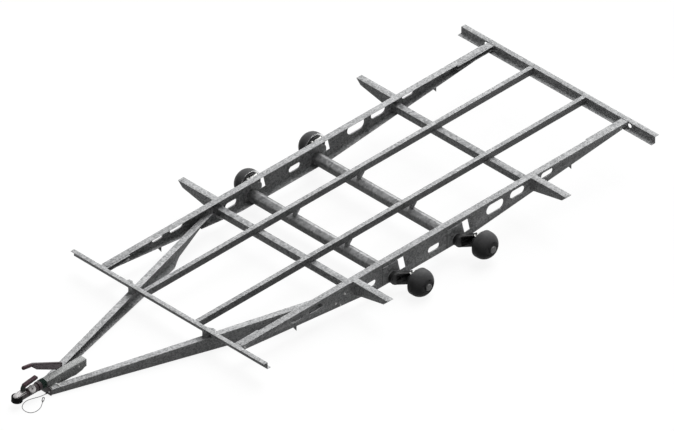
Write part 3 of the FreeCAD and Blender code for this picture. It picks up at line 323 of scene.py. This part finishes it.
# Cross members and outriggers. Folded channels, a row in front of the axles and a row behind them:
# between the rails they run straight across, and outside they taper to a slanting tip. Each
# outrigger is welded to its rail down the front of its root and under it.
outrigger_rows = {"front": 762, "rear": -1231}
root_width = 60
root_face = rail_face + 1
root_top = -1
root_foot = -119
root_weld_size = 3
plate_zinc = galvanised("galvanised plate", (0.56, 0.565, 0.57), (0.2, 0.205, 0.21), 50)
weld_zinc = plain("zinc over a weld", (0.4, 0.405, 0.41), 0.55, Metallic=0.1)
for end, x in outrigger_rows.items():
    dressed(f"cross_member_{end}", plate_zinc)
    for side, out in sides.items():
        dressed(f"outrigger_{end}_{side}", sheet_zinc)
        top = Vector((x, out * root_face, root_top))
        foot = Vector((x, out * root_face, root_foot))
        heel = Vector((x - root_width, out * root_face, root_foot))
        shell = bmesh.new()
        bead(shell, top, foot, root_weld_size)
        bead(shell, foot, heel, root_weld_size)
        finished(f"outrigger_weld_{end}_{side}", shell, weld_zinc)

# Drawbar arms. Two folded channels run back from the nose plate in a V, growing deeper, and under
# the front cross beam to the rails. Spacers and bent, bolted clips join the beam to them, and the
# steady tabs, small upright triangles of plate, are welded under the rails.


def slab(shell, corners, thick):
    """A flat plate from its corners, as thick as the vector given."""
    face = shell.faces.new([shell.verts.new(corner) for corner in corners])
    grown = bmesh.ops.extrude_face_region(shell, geom=[face])["geom"]
    knots = [item for item in grown if isinstance(item, bmesh.types.BMVert)]
    bmesh.ops.translate(shell, vec=thick, verts=knots)


forwards = Vector((1, 0, 0))
clip_front = 1999
clip_top = -1
clip_sheet = 4
clip_web = ((414, clip_top), (486, clip_top), (486, -58), (430, -58))
clip_shelf = ((clip_front, 414), (clip_front, 486), (1978, 478), (1975, 448))
clip_bolt_y = 448
clip_bolt_z = -34
clip_bolt_flats = 13
for side in sides:
    dressed(f"drawbar_arm_{side}", sheet_zinc, edge=0.0008)
dressed("front_spacers", plate_zinc)
shell = bmesh.new()
for out in sides.values():
    slab(shell, [Vector((clip_front, out * y, z)) for y, z in clip_web], Vector((-clip_sheet, 0, 0)))
    slab(shell, [Vector((x, out * y, clip_top)) for x, y in clip_shelf], Vector((0, 0, -clip_sheet)))
    place = Vector((clip_front - clip_sheet, out * clip_bolt_y, clip_bolt_z))
    bolt(shell, place, -forwards, clip_bolt_flats)
finished("spacer_clips", shell, plate_zinc)
dressed("steady_tabs", plate_zinc)

# Axles. Each is a hexagonal steel tube, corner up, that its two swing arms are sprung in. Welded
# plates tie it to the rails, and short folded posts carry the floor bearers on it.
axle_lines = {"front": 330, "rear": -390}
axle_z = -165
axle_weld_face = 785.5
axle_weld_reach = 57
axle_weld_size = 3.5
tube_turns = [math.tau * corner / 6 for corner in range(7)]
# Painted shade: the tube's faces that do not face straight up keep only 0.62 of their zinc colour, so its
# top corner reads bright.
tube_zinc = galvanised("galvanised axle tube", (0.78, 0.785, 0.79), (0.36, 0.365, 0.37), 50, 0.003, 0.62)
for row, x in axle_lines.items():
    dressed(f"axle_tube_{row}", tube_zinc, edge=0.01)
    dressed(f"axle_plates_{row}", plate_zinc, edge=0.001)
    shell = bmesh.new()
    for out in sides.values():
        round_tube = [Vector((x + axle_weld_reach * math.sin(turn), out * axle_weld_face,
                              axle_z + axle_weld_reach * math.cos(turn))) for turn in tube_turns]
        for start, end in zip(round_tube, round_tube[1:]):
            bead(shell, start, end, axle_weld_size)
    finished(f"axle_weld_{row}", shell, weld_zinc)
dressed("bearer_posts", plate_zinc)

# Swing arms and brakes. A black cast arm trails from each tube's end to its hub, where a pressed
# backplate closes a domed black drum with a bright machined lip. A short rubber sleeve stands in a
# zinc gland, on a bracket over the backplate, and a pressed cap covers the hub nut.


def turned(shell, outline, place, aim, steps=48):
    """A half outline of (along, out) points, turned about an aim through a place."""
    older = set(shell.verts)
    knots = [shell.verts.new((out, 0, along)) for along, out in outline]
    lines = [shell.edges.new(pair) for pair in zip(knots, knots[1:])]
    bmesh.ops.spin(shell, geom=knots + lines, cent=(0, 0, 0), axis=(0, 0, 1), angle=math.tau, steps=steps,
                   use_merge=True)
    fresh = [knot for knot in shell.verts if knot not in older]
    bmesh.ops.remove_doubles(shell, verts=fresh, dist=0.001)
    fresh = [knot for knot in shell.verts if knot not in older]
    bmesh.ops.transform(shell, matrix=aimed(place, aim), verts=fresh)


up = Vector((0, 0, 1))
hub_set_back = 138
hub_z = -205
lip_y = 929.4
lip_outline = ((0, 100), (0, 116), (1.2, 116.4))
cap_y = 1049
cap_outline = ((0, 0), (0, 29.5), (5, 29.5), (8, 28.4), (9.5, 25), (10, 20), (10, 0))
bracket_ahead = 36
bracket_y = 914
bracket_rise = 84
bracket_outline = ((-88, 0), (24, 0), (16, -24), (-76, -24))
bracket_sheet = 3
gland_inset = 12
gland_radius = 8
gland_height = 7
sleeve_radius = 6
sleeve_tip_radius = 4.5
sleeve_straight = 8
sleeve_height = 15
sleeve_lean = 3
cast_black = plain("black casting", (0.011, 0.011, 0.0115), 0.5, 0.0008, 300, Specular_IOR_Level=0.4)
drum_black = plain("satin black drum", (0.11, 0.11, 0.112), 0.42, 0.0003, 500, Specular_IOR_Level=0.05)
plate_black = plain("backplate black", (0.03, 0.03, 0.031), 0.5, 0.0003, 500, Specular_IOR_Level=0.3)
cap_grey = plain("hub cap", (0.2, 0.2, 0.2), 0.42, 0.0006, 120, Metallic=0.1)
machined = plain("machined steel", (0.9, 0.9, 0.9), 0.3, Metallic=0.9)
rubber = plain("black rubber", (0.004, 0.004, 0.004), 0.65, Specular_IOR_Level=0.08)
for row, x in axle_lines.items():
    for side, out in sides.items():
        body = f"hub_{row}_{side}"
        outwards = Vector((0, out, 0))
        hub = Vector((x - hub_set_back, 0, hub_z))
        dressed(f"swing_arm_{row}_{side}", cast_black, edge=0.002)
        dressed(f"backplate_{row}_{side}", plate_black, edge=0)
        dressed(f"brake_drum_{row}_{side}", drum_black, edge=0, body=body, smooth=40)
        shell = bmesh.new()
        turned(shell, lip_outline, hub + outwards * lip_y, outwards, 64)
        finished(f"drum_lip_{row}_{side}", shell, machined, body)
        shell = bmesh.new()
        turned(shell, cap_outline, hub + outwards * cap_y, outwards)
        finished(f"hub_cap_{row}_{side}", shell, cap_grey, body)
        shell = bmesh.new()
        root = hub + forwards * bracket_ahead + outwards * bracket_y + up * bracket_rise
        slab(shell, [root + Vector((along, out * over, 0)) for along, over in bracket_outline],
             up * bracket_sheet)
        gland = root - outwards * gland_inset + up * bracket_sheet
        rod(shell, gland, up, gland_radius, gland_height, corners=6)
        finished(f"brake_bracket_{row}_{side}", shell, bolt_zinc)
        shell = bmesh.new()
        start = gland + up * gland_height
        tip = start + up * sleeve_height + forwards * sleeve_lean
        pipe(shell, [start, start + up * sleeve_straight, tip],
             [sleeve_radius, sleeve_radius, sleeve_tip_radius])
        finished(f"brake_sleeve_{row}_{side}", shell, rubber)

# Overrun housing. A galvanised casting bolted down on the arms' front ends, with a black nose plate
# across them, and in front of it a ribbed rubber bellows that covers the draw shaft.
nose_face = 3383
shaft_z = -37
foot_bolts = ((3352, 52), (3290, 66))
foot_bolt_z = -77
foot_bolt_flats = 17
nose_bolt_y = 58
nose_bolt_z = -96
side_bolt_place = (3040, 34, -40)
small_bolt_flats = 15
bellows_collar = 31
bellows_length = 51
fold_count = 4
fold_steps = 8
fold_start = 2
fold_run = 48
fold_radius = 37.5
fold_depth = 4
cast_zinc = galvanised("galvanised casting", (0.5, 0.505, 0.5), (0.24, 0.25, 0.245), 90, 0.002)
paint_black = plain("black paint", (0.016, 0.011, 0.013), 0.45, 0.0003, 500, Specular_IOR_Level=0.4)
teal_rubber = plain("teal black rubber", (0.03, 0.055, 0.045), 0.5, Specular_IOR_Level=0.2)
dressed("overrun_housing", cast_zinc, edge=0.0015, smooth=45)
dressed("nose_plate", paint_black, edge=0.0012)
shell = bmesh.new()
for out in sides.values():
    for x, y in foot_bolts:
        bolt(shell, Vector((x, out * y, foot_bolt_z)), up, foot_bolt_flats)
    bolt(shell, Vector((nose_face, out * nose_bolt_y, nose_bolt_z)), forwards, small_bolt_flats)
    x, y, z = side_bolt_place
    bolt(shell, Vector((x, out * y, z)), Vector((0, out, 0)), small_bolt_flats)
finished("housing_bolts", shell, bolt_zinc)
shell = bmesh.new()
outline = [(0, 0), (0, bellows_collar)]
for step in range(fold_count * fold_steps + 1):
    swell = -fold_depth * math.cos(math.tau * step / fold_steps)
    outline.append((fold_start + step * fold_run / (fold_count * fold_steps), fold_radius + swell))
outline += [(bellows_length, bellows_collar), (bellows_length, 0)]
turned(shell, outline, Vector((nose_face, 0, shaft_z)), forwards, 56)
bellows = finished("bellows_made", shell, teal_rubber, smooth=60)
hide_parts("shaft_bellows")

# Coupling head. A black body is clamped to the draw shaft and carries a zinc-plated pressed hood over
# the ball socket, with a black skirt round the cup and a zinc wear disc on its left shoulder. A
# rounded maroon handle with a dark leg locks it from above.
sleeve_x = 3433
sleeve_outline = ((0, 0), (0, 36), (3, 39), (28, 39), (31, 37), (31, 0))
cup_x = 3680
skirt_outline = ((-62, 41.5), (-62, 44.5), (-60, 46), (-56, 45.5), (-53, 44.6), (-20, 44.4), (-16, 43),
                 (-14, 40), (-14, 36))
hood_foot = -17
hood_steps = 16
hood_fullness = 0.75
hood_ribs = ((3714, 6, -14), (3711, 14, -12), (3703, 22, -8), (3690, 27, -4), (3670, 30, -1), (3648, 30, 1),
             (3626, 29, 1), (3606, 28, 0), (3600, 26, -4))
disc_x = 3534
disc_aim = Vector((0, 0.62, 0.78)).normalized()
disc_reach = 26
disc_outline = ((0, 0), (0, 33), (9, 33), (11, 31), (11, 10), (9, 8), (9, 0))
mark_reach = 34
mark_radius = 4.5
mark_length = 5
handle_width = 34
handle_radius = 13
handle_rim = 4
handle_steps = 8
handle_low = Vector((3600, -handle_width / 2, 46))
handle_high = Vector((3478, -handle_width / 2, 61))
leg_width = 28
leg_outline = ((3594, 48), (3616, 46), (3628, 26), (3630, -6), (3602, -6))
plated = plain("satin zinc plate", (0.62, 0.6, 0.6), 0.4, 0.0002, 300, Metallic=0.1)
plum_black = plain("plum black paint", (0.04, 0.026, 0.03), 0.45, 0.0003, 400, Specular_IOR_Level=0.3)
maroon = plain("maroon plastic", (0.06, 0.027, 0.035), 0.45, Specular_IOR_Level=0.2)
green_black = plain("green black plastic", (0.01, 0.015, 0.012), 0.5, Specular_IOR_Level=0.2)
dressed("coupling_head", plum_black, edge=0.0012, smooth=40)
shell = bmesh.new()
turned(shell, sleeve_outline, Vector((sleeve_x, 0, shaft_z)), forwards, 56)
finished("shaft_sleeve", shell, plum_black)
shell = bmesh.new()
turned(shell, skirt_outline, Vector((cup_x, 0, 0)), up, 64)
skirt = finished("cup_skirt", shell, rubber, smooth=50)
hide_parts("cup_ring")
shell = bmesh.new()
rings = []
for x, wide, crown in hood_ribs:
    knots = []
    for step in range(hood_steps + 1):
        turn = math.pi * step / hood_steps
        rise = (crown - hood_foot) * math.sin(turn) ** hood_fullness
        knots.append(shell.verts.new((x, wide * math.cos(turn), hood_foot + rise)))
    rings.append([shell.edges.new(pair) for pair in zip(knots, knots[1:] + knots[:1])])
skinned(shell, rings)
finished("coupling_hood", shell, plated, smooth=60)
shoulder = Vector((disc_x, 0, shaft_z))
shell = bmesh.new()
turned(shell, disc_outline, shoulder + disc_aim * disc_reach, disc_aim)
finished("wear_disc", shell, plated)
shell = bmesh.new()
rod(shell, shoulder + disc_aim * mark_reach, disc_aim, mark_radius, mark_length)
finished("wear_mark", shell, plum_black)
along = (handle_high - handle_low).normalized()
over = Vector((along.z, 0, -along.x))
half_round = []
for step in range(handle_steps + 1):
    turn = math.pi * (step / handle_steps - 0.5)
    half_round.append((along * math.cos(turn) + over * math.sin(turn)) * handle_radius)
shell = bmesh.new()
slab(shell, [handle_high + reach for reach in half_round] + [handle_low - reach for reach in half_round],
     Vector((0, handle_width, 0)))
softened(shell, [line for line in shell.edges if line.verts[0].co.y == line.verts[1].co.y], handle_rim, 3)
handle = finished("coupling_handle_made", shell, maroon, smooth=50)
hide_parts("coupling_handle")
shell = bmesh.new()
slab(shell, [Vector((x, -leg_width / 2, z)) for x, z in leg_outline], Vector((0, leg_width, 0)))
finished("handle_leg", shell, green_black)

# Handbrake lever. A folded steel channel in plum black paint stands at the right of the housing, with
# a lighter plate along its left side and a maroon grip on its end.
side_plate_y = -38.5
side_plate_sheet = 1.5
side_plate_outline = ((3166, -36), (3424, 97), (3466, 138), (3458, 149), (3440, 144), (3166, 11))
plum_grey = plain("plum grey paint", (0.36, 0.31, 0.33), 0.5, 0.0003, 300, Specular_IOR_Level=0.2)
dressed("handbrake_lever", plum_black, edge=0.0012)
shell = bmesh.new()
slab(shell, [Vector((x, side_plate_y, z)) for x, z in side_plate_outline], Vector((0, side_plate_sheet, 0)))
finished("lever_side", shell, plum_grey)
dressed("handbrake_grip", maroon, edge=0.003, smooth=50)

# Breakaway cable. Stranded steel wire in a thin sheath, crimped to the nose plate at one end and to
# a snap clip at the other, lying on the floor in one loose loop.
cable_points = [
    (2.7157, 0.036, 0.0098),
    (2.746, 0.036, 0.008),
    (2.788, 0.022, 0.0025),
    (2.836, 0.006, 0.0025),
    (2.889, -0.003, 0.0025),
    (2.94, 0.012, 0.0025),
    (2.984, 0.044, 0.0025),
    (3.003, 0.095, 0.0025),
    (2.988, 0.143, 0.0025),
    (2.94, 0.158, 0.0025),
    (2.884, 0.146, 0.0025),
    (2.842, 0.122, 0.0025),
    (2.81, 0.097, 0.005),
]
wire_steel = plain("sheathed wire", (0.05, 0.05, 0.05), 0.5, Specular_IOR_Level=0.3)
route = bpy.data.curves.new("breakaway cable", "CURVE")
route.dimensions = "3D"
route.bevel_depth = 0.0025
route.bevel_resolution = 4
route.resolution_u = 8
spline = route.splines.new("NURBS")
spline.points.add(len(cable_points) - 1)
for knot, place in zip(spline.points, cable_points):
    knot.co = (*place, 1)
spline.order_u = 3
spline.use_endpoint_u = True
route.materials.append(wire_steel)
cable = bpy.data.objects.new("breakaway_wire", route)
bpy.context.scene.collection.objects.link(cable)
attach(cable, "chassis")
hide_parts("breakaway_cable")
clip = dressed("cable_clip", wire_steel, edge=0, smooth=50)
dressed("cable_anchor", wire_steel, edge=0.0005)

# The studio: a plain pale floor, which the camera and the metal see as white, soft light from above
# and behind, and a camera at the photograph's equal-angle view, level with the chassis itself.


def seen_directly(finish):
    """One for what the camera, a metal or a glass sees, and nothing for the light on the object."""
    path = finish.nodes.new("ShaderNodeLightPath")
    camera, glossy, through = [Wire(finish, path.outputs[ray])
                               for ray in ("Is Camera Ray", "Is Glossy Ray", "Is Transmission Ray")]
    either = camera.maths("MAXIMUM", camera, glossy)
    return either.maths("MAXIMUM", either, through)


floor_size = 60
floor = bpy.data.meshes.new("studio floor")
shell = bmesh.new()
bmesh.ops.create_grid(shell, x_segments=1, y_segments=1, size=floor_size)
shell.to_mesh(floor)
shell.free()
ground = bpy.data.objects.new("studio_floor", floor)
bpy.context.scene.collection.objects.link(ground)
pale = Finish(bpy.data.materials.new("pale floor"))
matt = pale.add("ShaderNodeBsdfDiffuse", None, {"Color": (0.07, 0.07, 0.07, 1)})
chalk = pale.add("ShaderNodeBsdfDiffuse", None, {"Color": (0.13, 0.13, 0.13, 1)})
white = pale.add("ShaderNodeEmission", None, {"Color": (1, 1, 1, 1), "Strength": 0.9})
shaded = pale.add("ShaderNodeAddShader", None, {0: white, 1: chalk})
both = pale.add("ShaderNodeMixShader", None, {0: seen_directly(pale), 1: matt, 2: shaded})
pale.add("ShaderNodeOutputMaterial", None, {"Surface": both})
floor.materials.append(pale.owner)

sky_light = 0.085
air = Finish(bpy.data.worlds.new("studio air"))
bpy.context.scene.world = air.owner
strength = air.span(seen_directly(air), 0, 1, sky_light, 1)
glow = air.add("ShaderNodeBackground", None, {"Color": (1, 1, 1, 1), "Strength": strength})
air.add("ShaderNodeOutputWorld", None, {"Surface": glow})

for name, energy, wide, tilt, heading in (("light from above", 1.2, 40, 12, 180),
                                          ("light from behind", 1.9, 50, 45, 205)):
    sun = bpy.data.lights.new(name, "SUN")
    sun.energy = energy
    sun.angle = math.radians(wide)
    lamp = bpy.data.objects.new(name, sun)
    bpy.context.scene.collection.objects.link(lamp)
    aim = Matrix.Rotation(math.radians(heading), 4, "Z") @ Matrix.Rotation(math.radians(tilt), 4, "Y")
    lamp.matrix_world = aim

azimuth = math.radians(44.7457)
elevation = math.radians(35.3666)
roll = math.radians(0.2244)
view_centre = Vector((0.21644, 0.06002, 0))
view_distance = 161.936
back = Vector((math.cos(azimuth) * math.cos(elevation), math.sin(azimuth) * math.cos(elevation),
               math.sin(elevation)))
across = Vector((0, 0, 1)).cross(back).normalized()
across.rotate(Matrix.Rotation(roll, 3, back))
axes = [rest_turn.to_3x3() @ axis for axis in (across, back.cross(across), back)]
place = rest_turn @ view_centre + axes[2] * view_distance
lens = bpy.data.cameras.new("view")
lens.lens = 1100
lens.sensor_width = 36
lens.clip_start = 10
lens.clip_end = 500
camera = bpy.data.objects.new("view", lens)
bpy.context.scene.collection.objects.link(camera)
camera.matrix_world = Matrix.Translation(place) @ Matrix(axes).transposed().to_4x4()
bpy.context.scene.camera = camera
bpy.context.scene.view_settings.view_transform = "Standard"
